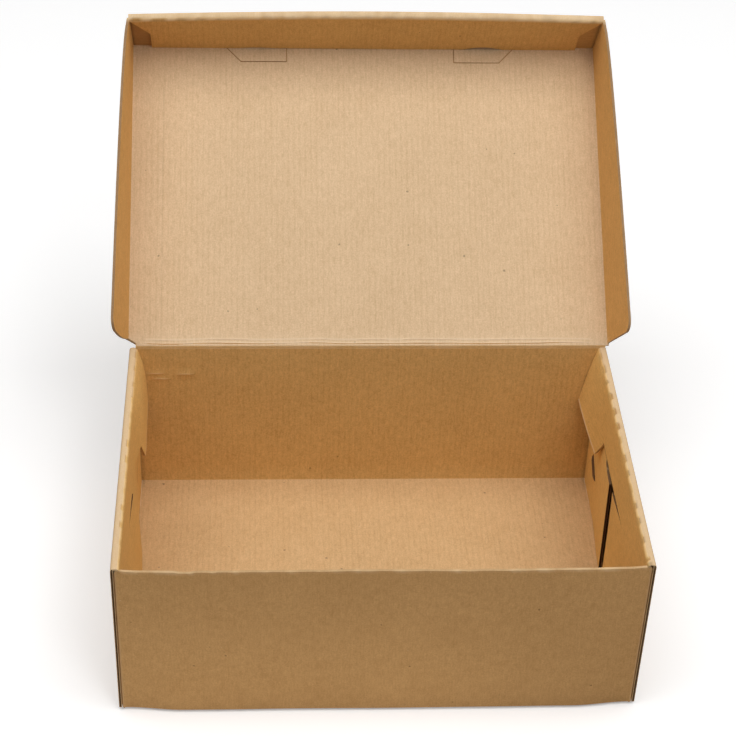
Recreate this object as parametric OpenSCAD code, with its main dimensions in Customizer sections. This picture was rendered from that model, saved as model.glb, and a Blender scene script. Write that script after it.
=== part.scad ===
// Open shoe-box carton folded from one corrugated sheet: a tray with rollover side
// walls, and an attached lid that swings on the crease above the rear wall.
// Origin at the centre of the underside, front wall towards -Y, +Z up.

/* [Board] */
// Thickness of the corrugated board
board = 1.5; // [1:0.1:2]
// Air between two layers of board that lie against each other
layer_gap = 0.15; // [0.1:0.05:0.4]
// Width of a die-cut slit
slit_w = 0.6; // [0.4:0.1:1.2]

/* [Tray] */
// Outer width of the tray
tray_w = 285; // [250:1:340]
// Outer depth of the tray, front face to rear face
tray_d = 190; // [180:1:240]
// Height of the tray to the top of its side rims
tray_h = 105; // [90:1:140]
// How far the front wall's cut edge lies below the rims
front_drop = 1.5; // [0.5:0.1:4]
// Length of the corner flaps, from the wall that carries them
flap_len = 84; // [70:1:86]

/* [Side locks] */
// Width of the open slot between a rollover panel and the rear corner flap
slot_w = 7; // [4:0.5:10]
// Height of the rollover band's lower edge above the table
band_z = 70; // [60:1:78]
// Length of the slit that runs forward from the slot
slit_len = 29; // [10:1:40]
// Length of the hooked tongue, from the rear wall
tongue_len = 48; // [40:1:60]
// How far the tongue's point hangs below the band
tongue_drop = 16; // [8:1:30]
// How far the tongue's point lies behind the notch
tongue_run = 10; // [6:1:24]
// How far the tongue's lower edge rises to its rear tip
tongue_rise = 11; // [4:1:20]
// Radius to which the right tongue curls into the tray
curl_right = 56; // [50:1:200]
// Radius to which the left tongue curls into the tray
curl_left = 60; // [50:1:200]
// Flat strip left between the curl and the rim
curl_strip = 4; // [2:0.5:10]
// Length of the slanted catch slit in each rear corner flap
catch_len = 17; // [8:1:22]
// Width of the catch slit
catch_w = 1.2; // [0.6:0.1:2]
// Slope of the catch slit
catch_slope = 33; // [0:1:45]
// How far the catch slit starts below the tongue's point
catch_drop = 27; // [20:1:32]
// How far the catch slit starts behind the tongue's point
catch_back = 6; // [0:1:10]

/* [Lid] */
// Angle of the lid from closed
lid_open = 143; // [95:1:180]
// Side clearance between the tray and the lid's skirts
lid_clear = 0.6; // [0.4:0.1:2]
// Clearance between the tray's front wall and the lid's rollover
lid_reach = 2.5; // [1:0.1:6]
// Height of the lid's skirts, from the middle of the lid panel
skirt_h = 38.5; // [30:0.5:50]
// Radius of the skirts' free corners at the hinge
skirt_r = 7; // [3:0.5:12]
// How far the skirts splay out at the hinge
skirt_splay = 6.2; // [0:0.2:9]
// Clearance between the closed lid panel and the rims
rim_clear = 0.25; // [0.2:0.05:0.6]
// Clearance between the lid's rear bead and the rear wall's top
hinge_gap = 0.35; // [0.3:0.05:0.6]

/* [Lid front] */
// Length of the corner flaps inside the front skirt
lid_flap = 40; // [25:1:60]
// Distance from the side skirts to the rollover's cut ends
roll_inset = 11.5; // [6:0.5:18]
// Height at which the diagonal cut meets the rollover's end
roll_cut = 21; // [12:0.5:26]
// Distance between the inner sides of the two locking tabs
tab_apart = 104; // [70:1:130]
// Width of a locking tab at its fold
tab_w = 37; // [24:1:44]
// Depth of a locking tab
tab_depth = 8; // [5:0.5:12]
// Width of the arch in the rollover above a locking tab
arch_w = 24; // [14:1:30]
// Height of that arch
arch_h = 1.4; // [0.5:0.1:3]

/* [Hidden] */
$fn = 64;
kraft = "#c2925b";
pale_kraft = "#d2ab7c";
through = 1;

half_w = tray_w / 2;
half_d = tray_d / 2;
rim_w = 3 * board + 2 * layer_gap;
layer = board + layer_gap;
wall_x = half_w - 2 * board - layer_gap;
front_top = tray_h - front_drop;

hinge_y = half_d - board / 2;
hinge_z = tray_h + rim_clear + board / 2;
rear_bead_z = hinge_z - board - hinge_gap;

panel_x = half_w - rim_w;
panel_front = -half_d + layer + layer_gap;
panel_rear = half_d - layer - layer_gap;
panel_foot = board + layer_gap;
panel_top = tray_h - board;
slot_rear = half_d - flap_len;
slot_front = slot_rear - slot_w;
notch_y = panel_rear - tongue_len;
point_y = notch_y + tongue_run;
point_z = band_z - tongue_drop;
tip_z = point_z + tongue_rise;
curl_z = panel_top - curl_strip;
curl_turn = atan2(curl_z - band_z, tongue_len);
curl_sweep = 60;

lid_half = half_w + lid_clear;
lid_len = tray_d - board / 2 + lid_reach + rim_w;
skirt_start = board;
skirt_end = lid_len - 2 * board - layer_gap;
skirt_foot = board / 2;
skirt_flat = board;
roll_y = rim_w - lid_len;
roll_foot = board / 2 + layer_gap;
corner_steps = 6;
splay_steps = 12;

// Quarter disc that rounds a fold, turned to its quadrant
module fold(turn) {
    rotate(turn)
        intersection() {
            circle(r = board);
            square(board);
        }
}

// Extrudes a Y-Z profile along X, between two ends
module along_x(from, to) {
    translate([from, 0, 0])
        rotate([90, 0, 90])
            linear_extrude(height = to - from) children();
}

// Extrudes an X-Z profile along Y, between two ends
module along_y(from, to) {
    translate([0, to, 0])
        rotate([90, 0, 0])
            linear_extrude(height = to - from) children();
}

// Thin slit between two points of a flat profile
module slit(p, q, width = slit_w) {
    run = q - p;
    translate(p)
        rotate(atan2(run.y, run.x))
            translate([0, -width / 2])
                square([norm(run), width]);
}

// Two triangles of a four-cornered patch
function patch(a, b, c, d) = [[a, b, c], [a, c, d]];

// Board bent out of plane, between two equal grids of points
module bent_sheet(inner, outer) {
    cols = len(inner);
    rows = len(inner[0]);
    points = concat([for (col = inner) each col], [for (col = outer) each col]);
    function at(i, j, side) = (side * cols + i) * rows + j;
    last_i = cols - 1;
    last_j = rows - 1;
    faces = concat(
        [for (i = [0 : last_i - 1], j = [0 : last_j - 1])
            each patch(at(i, j, 0), at(i + 1, j, 0), at(i + 1, j + 1, 0), at(i, j + 1, 0))],
        [for (i = [0 : last_i - 1], j = [0 : last_j - 1])
            each patch(at(i, j, 1), at(i, j + 1, 1), at(i + 1, j + 1, 1), at(i + 1, j, 1))],
        [for (i = [0 : last_i - 1])
            each patch(at(i, 0, 1), at(i + 1, 0, 1), at(i + 1, 0, 0), at(i, 0, 0))],
        [for (i = [0 : last_i - 1])
            each patch(at(i, last_j, 0), at(i + 1, last_j, 0), at(i + 1, last_j, 1), at(i, last_j, 1))],
        [for (j = [0 : last_j - 1])
            each patch(at(0, j, 0), at(0, j + 1, 0), at(0, j + 1, 1), at(0, j, 1))],
        [for (j = [0 : last_j - 1])
            each patch(at(last_i, j, 1), at(last_i, j + 1, 1), at(last_i, j + 1, 0), at(last_i, j, 0))]
    );
    polyhedron(points, faces);
}

// Floor with the front and rear walls, seen from the side
module wall_profile() {
    translate([board - half_d, 0])
        square([tray_d - 2 * board, board]);
    translate([board - half_d, board])
        fold(180);
    translate([-half_d, board])
        square([board, front_top - board]);
    translate([half_d - board, board])
        fold(270);
    translate([half_d - board, board])
        square([board, rear_bead_z - board]);
    translate([half_d - board / 2, rear_bead_z])
        circle(d = board);
}

// Floor strip that folds up into an outer side panel
module side_fold_profile() {
    translate([wall_x - board, 0])
        square([half_w - wall_x, board]);
    translate([half_w - board, board])
        fold(270);
}

// Outer side panel and the flat rim folded over its top
module side_profile() {
    translate([half_w - board, board])
        square([board, panel_top - board]);
    translate([half_w - board, panel_top])
        fold(0);
    translate([half_w - rim_w + board, panel_top])
        square([rim_w - 2 * board, board]);
    translate([half_w - rim_w + board, panel_top])
        fold(90);
}

// Corner flap folded in from the front wall
module corner_flap() {
    translate([0, 0, panel_foot])
        linear_extrude(height = panel_top - layer_gap - panel_foot) {
            translate([wall_x, board - half_d])
                fold(270);
            translate([wall_x, board - half_d])
                square([board, flap_len - board]);
        }
}

// Rollover panel laid flat: full height in front, a band behind the slot, a tongue at the rear
module rollover_outline() {
    difference() {
        polygon([
            [panel_front, panel_foot], [slot_front, panel_foot], [slot_front, band_z],
            [notch_y, band_z], [point_y, point_z], [panel_rear, tip_z],
            [panel_rear, panel_top], [panel_front, panel_top]
        ]);
        slit([slot_front - slit_len, band_z - slit_w / 2], [slot_front + through, band_z - slit_w / 2]);
    }
}

// Frame on the axis of a tongue's curl, along the line from the notch to the rim's rear end
module curl_frame(radius) {
    translate([panel_x - radius, notch_y, band_z])
        rotate([curl_turn - 90, 0, 0])
            translate([0, 0, -slit_w])
                children();
}

// Rollover panel with its tongue curled into the tray
module rollover(radius) {
    reach = 2 * tongue_len;
    difference() {
        along_x(panel_x, panel_x + board)
            rollover_outline();
        curl_frame(radius)
            translate([radius - through, 0, 0])
                cube([board + 2 * through, reach, reach]);
    }
    intersection() {
        along_x(panel_x - radius, half_w)
            rollover_outline();
        curl_frame(radius)
            rotate_extrude(angle = curl_sweep, $fn = 180)
                translate([radius, 0])
                    square([board, reach]);
    }
}

// One side of the tray: outer panel, rim, rollover panel and two corner flaps
module tray_side(curl) {
    along_y(board - half_d, half_d - board)
        side_fold_profile();
    along_y(-half_d, hinge_y)
        side_profile();
    rollover(curl);
    corner_flap();
    rear_corner_flap();
}

// Rear corner flap with the catch slit that the tongue hooks into
module rear_corner_flap() {
    catch_start = [point_y + catch_back, point_z - catch_drop];
    catch_end = catch_start + catch_len * [cos(catch_slope), sin(catch_slope)];
    difference() {
        mirror([0, 1, 0])
            corner_flap();
        along_x(wall_x - through, wall_x + board + through)
            slit(catch_start, catch_end, catch_w);
    }
}

// Folded tray
module tray() {
    color(kraft) {
        along_x(-wall_x, wall_x)
            wall_profile();
        tray_side(curl_right);
        mirror([1, 0, 0])
            tray_side(curl_left);
    }
}

// Lid front seen from the side: panel fold, outer skirt, flat rim and rim fold
module lid_front_profile() {
    translate([board - lid_len, -board / 2])
        fold(90);
    translate([-lid_len, board - skirt_h])
        square([board, skirt_h - 1.5 * board]);
    translate([board - lid_len, board - skirt_h])
        fold(180);
    translate([board - lid_len, -skirt_h])
        square([rim_w - 2 * board, board]);
    translate([roll_y - board, board - skirt_h])
        fold(270);
}

// Rollover inside the lid's front skirt, with cut corners and an arch above each tab
module lid_rollover_outline() {
    top = lid_half - layer_gap;
    low = lid_half - roll_inset;
    difference() {
        polygon([
            [-top, board - skirt_h], [top, board - skirt_h],
            [low, -roll_cut], [low, -roll_foot],
            [-low, -roll_foot], [-low, -roll_cut]
        ]);
        for (side = [-1, 1])
            translate([side * (tab_apart + tab_w) / 2, -roll_foot])
                tab_arch();
    }
}

// Shallow round arch, as wide and high as given
module tab_arch() {
    radius = (arch_w * arch_w / 4 + arch_h * arch_h) / (2 * arch_h);
    translate([0, radius - arch_h])
        circle(r = radius, $fn = 180);
}

// Three slits that free a locking tab from the panel
module tab_slits() {
    inner = tab_apart / 2;
    outer = inner + tab_w;
    base = roll_y;
    tip = base + tab_depth;
    slit([inner, base], [inner, tip]);
    slit([inner - slit_w / 2, tip], [outer - tab_depth, tip]);
    slit([outer - tab_depth, tip], [outer, base]);
}

// How far the free edge of a side skirt stands out at a distance from the hinge
function splay(s) = skirt_splay * sqrt(max(0, (skirt_end - skirt_flat - s) / skirt_end));

// Side skirt with a round free corner at the hinge, splayed out towards the hinge
module side_skirt() {
    corner = [for (i = [0 : corner_steps])
        let (turn = 90 * i / corner_steps)
        [skirt_start + skirt_r * (1 - cos(turn)), skirt_h - skirt_r * (1 - sin(turn))]];
    corner_end = skirt_start + skirt_r;
    run = skirt_end - skirt_flat - corner_end;
    edge = [for (i = [1 : splay_steps])
        [corner_end + run * (1 - pow(1 - i / splay_steps, 2)), skirt_h]];
    free_edge = concat(corner, edge, [[skirt_end, skirt_h]]);
    root = skirt_foot + skirt_flat;
    function grid(x) = [for (p = free_edge) [for (k = [skirt_foot, root, p.y])
        [x + splay(p.x) * (k - min(k, root)) / (skirt_h - root), -p.x, -k]]];
    bent_sheet(grid(lid_half), grid(lid_half + board));
}

// One side of the lid: fold, skirt, and the corner flap inside the front skirt
module lid_side() {
    along_y(-skirt_end, -skirt_start) {
        translate([lid_half, -skirt_foot])
            fold(0);
        translate([lid_half, -skirt_foot - skirt_flat])
            square([board, skirt_flat]);
    }
    side_skirt();
    translate([0, 0, layer - skirt_h])
        linear_extrude(height = skirt_h - layer - roll_foot)
            lid_flap_profile();
}

// Corner flap folded in from a side skirt, seen from above
module lid_flap_profile() {
    translate([lid_half, -skirt_end])
        square([board, skirt_flat]);
    translate([lid_half, -skirt_end])
        fold(270);
    translate([lid_half - lid_flap, -skirt_end - board])
        square([lid_flap, board]);
}

// Lid in its closed place, with the hinge axis along X through its origin
module closed_lid() {
    difference() {
        translate([-lid_half, board - lid_len, -board / 2])
            cube([2 * lid_half, lid_len - board, board]);
        for (side = [0, 1])
            mirror([side, 0, 0])
                translate([0, 0, -board])
                    linear_extrude(height = 2 * board)
                        tab_slits();
    }
    along_x(-lid_half, lid_half)
        circle(d = board);
    along_x(-lid_half - board, lid_half + board)
        lid_front_profile();
    along_y(roll_y - board, roll_y)
        lid_rollover_outline();
    for (side = [0, 1])
        mirror([side, 0, 0])
            lid_side();
}

// Hinged lid, swung open
module lid() {
    color(pale_kraft)
        translate([0, hinge_y, hinge_z])
            rotate([-lid_open, 0, 0])
                closed_lid();
}

tray();
lid();
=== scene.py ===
import math

import bpy
from mathutils import Matrix, Vector, noise


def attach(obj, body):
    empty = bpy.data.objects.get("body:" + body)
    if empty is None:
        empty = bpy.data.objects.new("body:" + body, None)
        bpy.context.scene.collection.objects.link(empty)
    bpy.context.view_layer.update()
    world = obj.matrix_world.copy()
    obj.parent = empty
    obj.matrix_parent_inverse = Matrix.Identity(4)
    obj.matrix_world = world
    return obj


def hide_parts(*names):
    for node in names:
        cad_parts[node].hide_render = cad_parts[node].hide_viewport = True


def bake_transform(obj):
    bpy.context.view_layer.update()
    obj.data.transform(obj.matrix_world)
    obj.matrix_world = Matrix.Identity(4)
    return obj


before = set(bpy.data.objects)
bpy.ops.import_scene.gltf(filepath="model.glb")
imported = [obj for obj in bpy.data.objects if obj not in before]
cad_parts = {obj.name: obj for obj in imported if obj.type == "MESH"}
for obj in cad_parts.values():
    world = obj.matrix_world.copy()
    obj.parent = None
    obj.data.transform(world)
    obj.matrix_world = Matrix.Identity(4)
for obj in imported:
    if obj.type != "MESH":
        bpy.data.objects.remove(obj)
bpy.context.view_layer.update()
mm = 0.001
slack = 0.02      # mm, tells rows of points apart

# board and crease sizes that every panel shares, in mm
carton = {
    "board": 1.5,
    "liner": 0.3,          # thickness of a paper face at a cut edge
    "flutePitch": 3.45,
    "flutePaper": 0.24,
    "fluteBite": 0.06,     # how far the flutes sink into the paper faces
    "smoothAngle": 42.0,
    "foldRadius": 0.95,    # at the middle of the board
    "hingeY": 94.25,
    "hingeZ": 106.0,
    "lidOpen": 143.0,
}
outerSlot, innerSlot, cutSlot, fluteSlot, uprightSlot, ownSlot = range(6)      # materials of a board piece
print("frame loaded:", sorted(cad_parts))


# selection and shaping helpers, all in mm

def toObject():
    bpy.ops.object.mode_set(mode="OBJECT")


def toEdit():
    bpy.ops.object.mode_set(mode="EDIT")


def clearSelection():
    active = bpy.context.view_layer.objects.active
    if active and active.mode != "OBJECT":
        toObject()
    bpy.ops.object.select_all(action="DESELECT")


def workOn(obj):
    clearSelection()
    obj.select_set(True)
    bpy.context.view_layer.objects.active = obj


def pick(kind, test):
    # picks points, edges or faces of the active mesh whose points all pass the test
    toEdit()
    bpy.ops.mesh.select_mode(type=kind)
    bpy.ops.mesh.select_all(action="DESELECT")
    toObject()
    mesh = bpy.context.object.data
    good = [test(v.co / mm) for v in mesh.vertices]
    if kind == "VERT":
        for v in mesh.vertices:
            v.select = good[v.index]
    else:
        for part in (mesh.edges if kind == "EDGE" else mesh.polygons):
            part.select = all(good[i] for i in part.vertices)
    toEdit()


def shape(kind, test, operator, **values):
    # one mesh operator on what the test picks
    pick(kind, test)
    operator(**values)
    toObject()


def everywhere(p):
    return True


def setDown(obj, place):
    # bakes a place into the mesh
    obj.matrix_world = place
    workOn(obj)
    bpy.ops.object.transform_apply(location=True, rotation=True, scale=True)


def axes(first, second, third, origin):
    place = Matrix((first, second, third)).transposed().to_4x4()
    place.translation = origin
    return place


def modify(obj, kind, **values):
    # makes a modifier and applies it
    workOn(obj)
    modifier = obj.modifiers.new("shape", kind)
    for key, value in values.items():
        setattr(modifier, key, value)
    bpy.ops.object.modifier_apply(modifier=modifier.name)


def flatGrid(name, cuts):
    clearSelection()
    bpy.ops.mesh.primitive_grid_add(x_subdivisions=cuts[0], y_subdivisions=cuts[1], size=1, calc_uvs=False)
    obj = bpy.context.object
    obj.name = obj.data.name = name
    return obj


def boardGrid(name, low, high, cuts):
    # flat grid between two corners; the axis on which they agree is its normal
    low, high = Vector(low), Vector(high)
    flat = min(range(3), key=lambda i: abs(high[i] - low[i]))
    first, second = [i for i in range(3) if i != flat]
    obj = flatGrid(name, cuts)
    turn = Matrix.Diagonal((0, 0, 0, 1))
    turn[first][0] = (high[first] - low[first]) * mm
    turn[second][1] = (high[second] - low[second]) * mm
    turn[flat][2] = 1.0
    setDown(obj, Matrix.Translation((low + high) / 2 * mm) @ turn)
    return obj


def foldOn(test, move, steps=1):
    # pulls a new panel off the picked edges
    pick("EDGE", test)
    for step in range(steps):
        bpy.ops.mesh.extrude_region_move(TRANSFORM_OT_translate={"value": Vector(move) * mm / steps})
    toObject()


def sliceAt(test, point, normal, clear=False):
    shape("FACE", test, bpy.ops.mesh.bisect, plane_co=Vector(point) * mm, plane_no=Vector(normal).normalized(),
          use_fill=False, clear_outer=clear, threshold=1e-6)


def sliceMany(test, axis, places):
    # parallel cuts square to one axis
    for at in places:
        point, normal = [0, 0, 0], [0, 0, 0]
        point[axis], normal[axis] = at, 1
        sliceAt(test, point, normal)


def roundFold(test, radius=carton["foldRadius"], segments=3):
    shape("EDGE", test, bpy.ops.mesh.bevel, offset=radius * mm, segments=segments, affect="EDGES")


def pickFaces(test):
    # picks whole faces of the active mesh by a rule of their own
    pick("FACE", lambda p: False)
    toObject()
    for face in bpy.context.object.data.polygons:
        face.select = test(face)
    toEdit()


def dropFaces(test):
    # deletes the waste, by the middle of each face
    pickFaces(lambda face: test(face.center / mm))
    bpy.ops.mesh.delete(type="FACE")
    toObject()


def near(value, target, margin=slack):
    return abs(value - target) < margin


def on(**planes):
    # test for points that lie on all the given planes
    return lambda p: all(near(getattr(p, axis), at) for axis, at in planes.items())


def ease(t):
    t = max(0.0, min(1.0, t))
    return t * t * (3 - 2 * t)


def faceOut(obj, test):
    # turns the whole sheet so that its outer paper faces out
    shape("FACE", everywhere, bpy.ops.mesh.normals_make_consistent, inside=False)
    if not test(obj.data.polygons):
        shape("FACE", everywhere, bpy.ops.mesh.flip_normals)


def giveThickness(obj, thickness=carton["board"]):
    # empty slots up to the flute paper, for the faces that the thickness makes
    for slot in range(fluteSlot + 1):
        obj.data.materials.append(None)
    modify(obj, "SOLIDIFY", thickness=thickness * mm, offset=0, use_even_offset=True, use_quality_normals=True,
           material_offset=innerSlot, material_offset_rim=cutSlot)


def darkenEdge(obj, test):
    # raw edges that lie in shade or show open flutes take the flute paper's dark brown, a painted shade where
    # they lie in shade
    for face in obj.data.polygons:
        if face.material_index == cutSlot and test(face.center / mm):
            face.material_index = fluteSlot


def openEdge(test, inward):
    # hollows a cut edge between its two paper faces
    pickFaces(lambda face: face.material_index == cutSlot and test(face.center / mm))
    bpy.ops.mesh.inset(thickness=carton["liner"] * mm, depth=0, use_boundary=True)
    bpy.ops.mesh.extrude_region_move(TRANSFORM_OT_translate={"value": Vector(inward) * mm})
    toObject()


def fluteRibbon(name, side, start, inward, length, depth):
    # the wavy middle paper that shows in an upright open edge: one flute, then repeated
    pitch = carton["flutePitch"]
    count = int(length / pitch)
    obj = flatGrid(name, (8, 2))
    reach = (carton["board"] - 2 * carton["liner"] - carton["flutePaper"]) / 2 + carton["fluteBite"]
    for v in obj.data.vertices:
        u, w = v.co.x + 0.5, v.co.y + 0.5
        v.co = Vector((u * pitch, reach * math.sin(2 * math.pi * u), w * depth)) * mm
    modify(obj, "ARRAY", count=count, use_relative_offset=False, use_constant_offset=True,
           constant_offset_displace=(pitch * mm, 0, 0), use_merge_vertices=True, merge_threshold=slack * mm)
    modify(obj, "SOLIDIFY", thickness=carton["flutePaper"] * mm, offset=0)
    start = Vector(start) + Vector((0, 0, (length - count * pitch) / 2))
    setDown(obj, axes((0, 0, 1), (side, 0, 0), inward, start * mm))
    shape("FACE", everywhere, bpy.ops.mesh.normals_make_consistent, inside=False)
    return obj


def unfoldUv(obj, runs=None):
    # U across the flutes and V along them, as on the flat blank, in metres
    ways = {0: (2, 1), 1: (0, 2), 2: (0, 1)}
    ways.update(runs or {})
    mesh = obj.data
    blank = mesh.uv_layers.new(name="blank")
    for face in mesh.polygons:
        axis = max(range(3), key=lambda i: abs(face.normal[i]))
        across, along = ways[axis]
        for loop in face.loop_indices:
            co = mesh.vertices[mesh.loops[loop].vertex_index].co
            blank.data[loop].uv = (co[across], co[along])


def paint(obj, name, rule):
    # writes a value per point that a material reads, from its place in mm
    layer = obj.data.attributes.new(name, "FLOAT", "POINT")
    for i, v in enumerate(obj.data.vertices):
        layer.data[i].value = rule(v.co / mm)


def joinAll(main, others):
    workOn(main)
    for obj in others:
        obj.select_set(True)
    bpy.ops.object.join()


def wobble(place, size, seed):
    return noise.noise(Vector(place) / size + Vector((seed * 7.3, seed * 3.1, seed * 1.7)))


# shared shader groups

def newGroup(name, inputs, outputs):
    group = bpy.data.node_groups.new(name, "ShaderNodeTree")
    for title, kind in inputs.items():
        group.interface.new_socket(name=title, in_out="INPUT", socket_type=kind)
    for title in outputs:
        group.interface.new_socket(name=title, in_out="OUTPUT", socket_type="NodeSocketFloat")
    return group, group.nodes.new("NodeGroupInput"), group.nodes.new("NodeGroupOutput")


def feed(tree, node, sockets):
    # links or plain values into a node's inputs
    for key, value in sockets.items():
        if isinstance(value, bpy.types.NodeSocket):
            tree.links.new(value, node.inputs[key])
        else:
            node.inputs[key].default_value = value


def addNode(tree, kind, sockets=None, **values):
    node = tree.nodes.new(kind)
    for key, value in values.items():
        setattr(node, key, value)
    feed(tree, node, sockets or {})
    return node


def maths(tree, operation, *numbers, clamp=False):
    node = addNode(tree, "ShaderNodeMath", dict(enumerate(numbers)), operation=operation, use_clamp=clamp)
    return node.outputs[0]


def times(tree, first, second, clamp=False):
    return maths(tree, "MULTIPLY", first, second, clamp=clamp)


def weigh(tree, first, share, second, otherShare):
    return maths(tree, "ADD", times(tree, first, share), times(tree, second, otherShare))


def remap(tree, value, low, high, toLow=0.0, toHigh=1.0):
    return addNode(tree, "ShaderNodeMapRange", {
        "Value": value, "From Min": low, "From Max": high, "To Min": toLow, "To Max": toHigh,
    }, clamp=True).outputs["Result"]


def noiseAt(tree, place, scale, detail=2.0, roughness=0.5):
    return addNode(tree, "ShaderNodeTexNoise", {
        "Vector": place, "Scale": scale, "Detail": detail, "Roughness": roughness,
    }, noise_dimensions="3D").outputs["Fac"]


def stretched(tree, place, scale):
    return addNode(tree, "ShaderNodeMapping", {"Vector": place, "Scale": scale}).outputs["Vector"]


fluteWave = {"waver": (290.0, 16.0, 1.0), "drift": 1.1, "patch": (90.0, 22.0, 1.0), "sharp": 3.0}


def makeFluteLines():
    # washboard of the flutes under the paper: a soft wave across U, uneven along V
    group, inside, outside = newGroup(
        "fluteLines", {"Blank": "NodeSocketVector", "Pitch": "NodeSocketFloat"}, ("Height", "Line"))
    blank = inside.outputs["Blank"]
    split = addNode(group, "ShaderNodeSeparateXYZ", {0: blank})
    waver = noiseAt(group, stretched(group, blank, fluteWave["waver"]), 1.0, 1.0)
    turns = maths(group, "DIVIDE", split.outputs["X"], inside.outputs["Pitch"])
    phase = weigh(group, turns, 2 * math.pi, waver, fluteWave["drift"])
    wave = maths(group, "MULTIPLY_ADD", maths(group, "SINE", phase), 0.5, 0.5)
    patches = noiseAt(group, stretched(group, blank, fluteWave["patch"]), 1.0, 2.0)
    uneven = remap(group, patches, 0.3, 0.75, 0.25, 1.0)
    line = times(group, maths(group, "POWER", wave, fluteWave["sharp"]), uneven)
    feed(group, outside, {"Height": times(group, wave, uneven), "Line": line})
    return group


fibreSizes = {
    "wide": 24.0,
    "middle": 210.0,
    "fine": 1150.0,
    "threads": (1100.0, 160.0, 1.0),
    # output, scale, radius, share left out and seed
    "specks": (("Dark", 120.0, 0.075, 0.87, 3.0), ("Pale", 210.0, 0.07, 0.86, 8.0)),
}


def makeKraftFibre():
    # clouding, grain and specks of unbleached paper
    group, inside, outside = newGroup(
        "kraftFibre", {"Place": "NodeSocketVector", "Blank": "NodeSocketVector"},
        ("Cloud", "Grain", "Dark", "Pale"))
    place = inside.outputs["Place"]
    s = fibreSizes
    wide = noiseAt(group, place, s["wide"], 3.0, 0.6)
    mid = noiseAt(group, place, s["middle"], 3.0, 0.65)
    feed(group, outside, {"Cloud": remap(group, weigh(group, wide, 0.4, mid, 0.6), 0.32, 0.68)})
    threads = noiseAt(group, stretched(group, inside.outputs["Blank"], s["threads"]), 1.0, 3.0, 0.7)
    fine = noiseAt(group, place, s["fine"], 3.0, 0.7)
    feed(group, outside, {"Grain": remap(group, weigh(group, threads, 0.4, fine, 0.6), 0.36, 0.64)})
    for title, scale, radius, share, seed in s["specks"]:
        shift = addNode(group, "ShaderNodeMapping", {
            "Vector": place, "Location": (seed, seed * 0.37, seed * 0.71)})
        cells = addNode(group, "ShaderNodeTexVoronoi", {"Vector": shift.outputs["Vector"], "Scale": scale},
                        feature="F1", voronoi_dimensions="3D")
        tone = addNode(group, "ShaderNodeSeparateColor", {0: cells.outputs["Color"]})
        chosen = maths(group, "GREATER_THAN", tone.outputs[0], share)
        size = times(group, maths(group, "MULTIPLY_ADD", tone.outputs[1], 0.8, 0.5), radius)
        ragged = maths(group, "ADD", cells.outputs["Distance"],
                       times(group, maths(group, "SUBTRACT", fine, 0.5), radius * 1.4))
        spot = maths(group, "LESS_THAN", ragged, size)
        feed(group, outside, {title: times(group, spot, chosen)})
    return group


fluteLines = makeFluteLines()
kraftFibre = makeKraftFibre()
print("shader groups made")

# colours are linear: tone is the paper's middle, pale is what a crease or worn edge turns to. The tones per
# panel are partly painted light and shade: the same paper takes its own tone on each panel, for how the lamps
# and the bounce inside the box fall there; pale also serves as a painted highlight on rounded folds
lookKeys = ("tone", "pale", "cloud", "grain", "line", "specks", "washboard")
looks = {
    "lidInner": ((0.69, 0.487, 0.295), (0.80, 0.63, 0.44), 0.32, 0.75, 0.20, 0.6, 0.6),
    "lidSkirt": ((0.69, 0.385, 0.125), (0.77, 0.55, 0.31), 0.40, 0.85, 0.20, 0.5, 0.6),
    "lidRoll": ((0.655, 0.368, 0.118), (0.77, 0.55, 0.31), 0.40, 0.85, 0.20, 0.5, 0.6),
    "trayFloor": ((0.635, 0.41, 0.203), (0.78, 0.59, 0.37), 0.40, 0.80, 0.22, 0.6, 0.7),
    "trayWall": ((0.665, 0.41, 0.15), (0.78, 0.57, 0.33), 0.45, 0.95, 0.22, 0.6, 0.7),
    "sideInner": ((0.775, 0.475, 0.158), (0.82, 0.61, 0.36), 0.45, 0.85, 0.15, 0.6, 0.6),
    "outerFace": ((0.495, 0.272, 0.1), (0.76, 0.56, 0.34), 0.50, 0.85, 0.08, 0.6, 0.5),
    # painted shade and light: one flap paper, as a shaded copy for the left corner flap and a lit copy for the
    # right
    "flapShaded": ((0.44, 0.235, 0.085), (0.70, 0.48, 0.26), 0.34, 0.50, 0.20, 0.5, 0.5),
    "flapLit": ((0.55, 0.30, 0.10), (0.70, 0.48, 0.26), 0.34, 0.70, 0.15, 0.5, 0.5),
    "cutEdge": ((0.52, 0.33, 0.16), (0.78, 0.57, 0.33), 0.60, 0.70, 0.0, 0.4, 0.0),
    "skirtEdge": ((0.33, 0.20, 0.10), (0.76, 0.55, 0.31), 0.60, 0.70, 0.0, 0.4, 0.0),
    # partly painted shade: the flute paper's brown, darkened for the shade inside open flutes
    "flutePaper": ((0.15, 0.078, 0.034), (0.50, 0.33, 0.17), 0.60, 0.60, 0.0, 0.3, 0.0),
}
kraft = {
    "deep": (0.82, 0.79, 0.72),      # how far the paper varies from its tone
    "light": (1.14, 1.17, 1.22),
    "dark": 0.35,                    # specks, scored lines and painted shade, as a share of the deep tone
    "paleSpecks": 0.6,
    "lineMean": 0.2,                 # of the flute lines over a panel
    "wearLeft": 0.72,                # share of the worn and scored marks, painted highlight and shade among them, left on the strongest grain
    "roughness": (0.78, 0.95),
    "specular": 0.25,
    "grainHeight": 0.4,
    "bump": 0.0001,
}


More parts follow.
